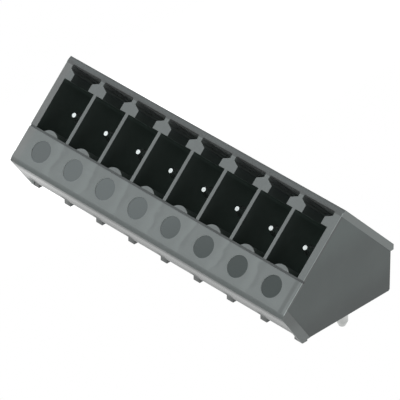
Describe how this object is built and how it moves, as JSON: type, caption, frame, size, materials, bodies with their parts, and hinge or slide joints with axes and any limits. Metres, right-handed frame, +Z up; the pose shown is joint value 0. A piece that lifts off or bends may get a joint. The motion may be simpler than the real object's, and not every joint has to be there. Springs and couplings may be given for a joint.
{
  "type": "angled pin header",
  "caption": "Shrouded angled header for a pluggable terminal block: a moulded housing with a sloping mating face and keyed chambers, and a row of bent round pins to solder into a board.",
  "frame": {"origin": "middle of the row of solder tails, on the plane of the board that the feet stand on", "axes": "+X along the row, +Y to the rear, +Z up from the board; the mating face looks forward and up, between -Y and +Z"},
  "size_m": [0.029, 0.0116, 0.0124],
  "materials": {
    "housing_plastic": "moulded, finely textured satin",
    "tinned_pin": "bright tin plate"
  },
  "bodies": {
    "root": {"housing": "housing_plastic", "pin_1": "tinned_pin", "pin_2": "tinned_pin", "pin_3": "tinned_pin", "pin_4": "tinned_pin", "pin_5": "tinned_pin", "pin_6": "tinned_pin", "pin_7": "tinned_pin", "pin_8": "tinned_pin"}
  },
  "joints": []
}
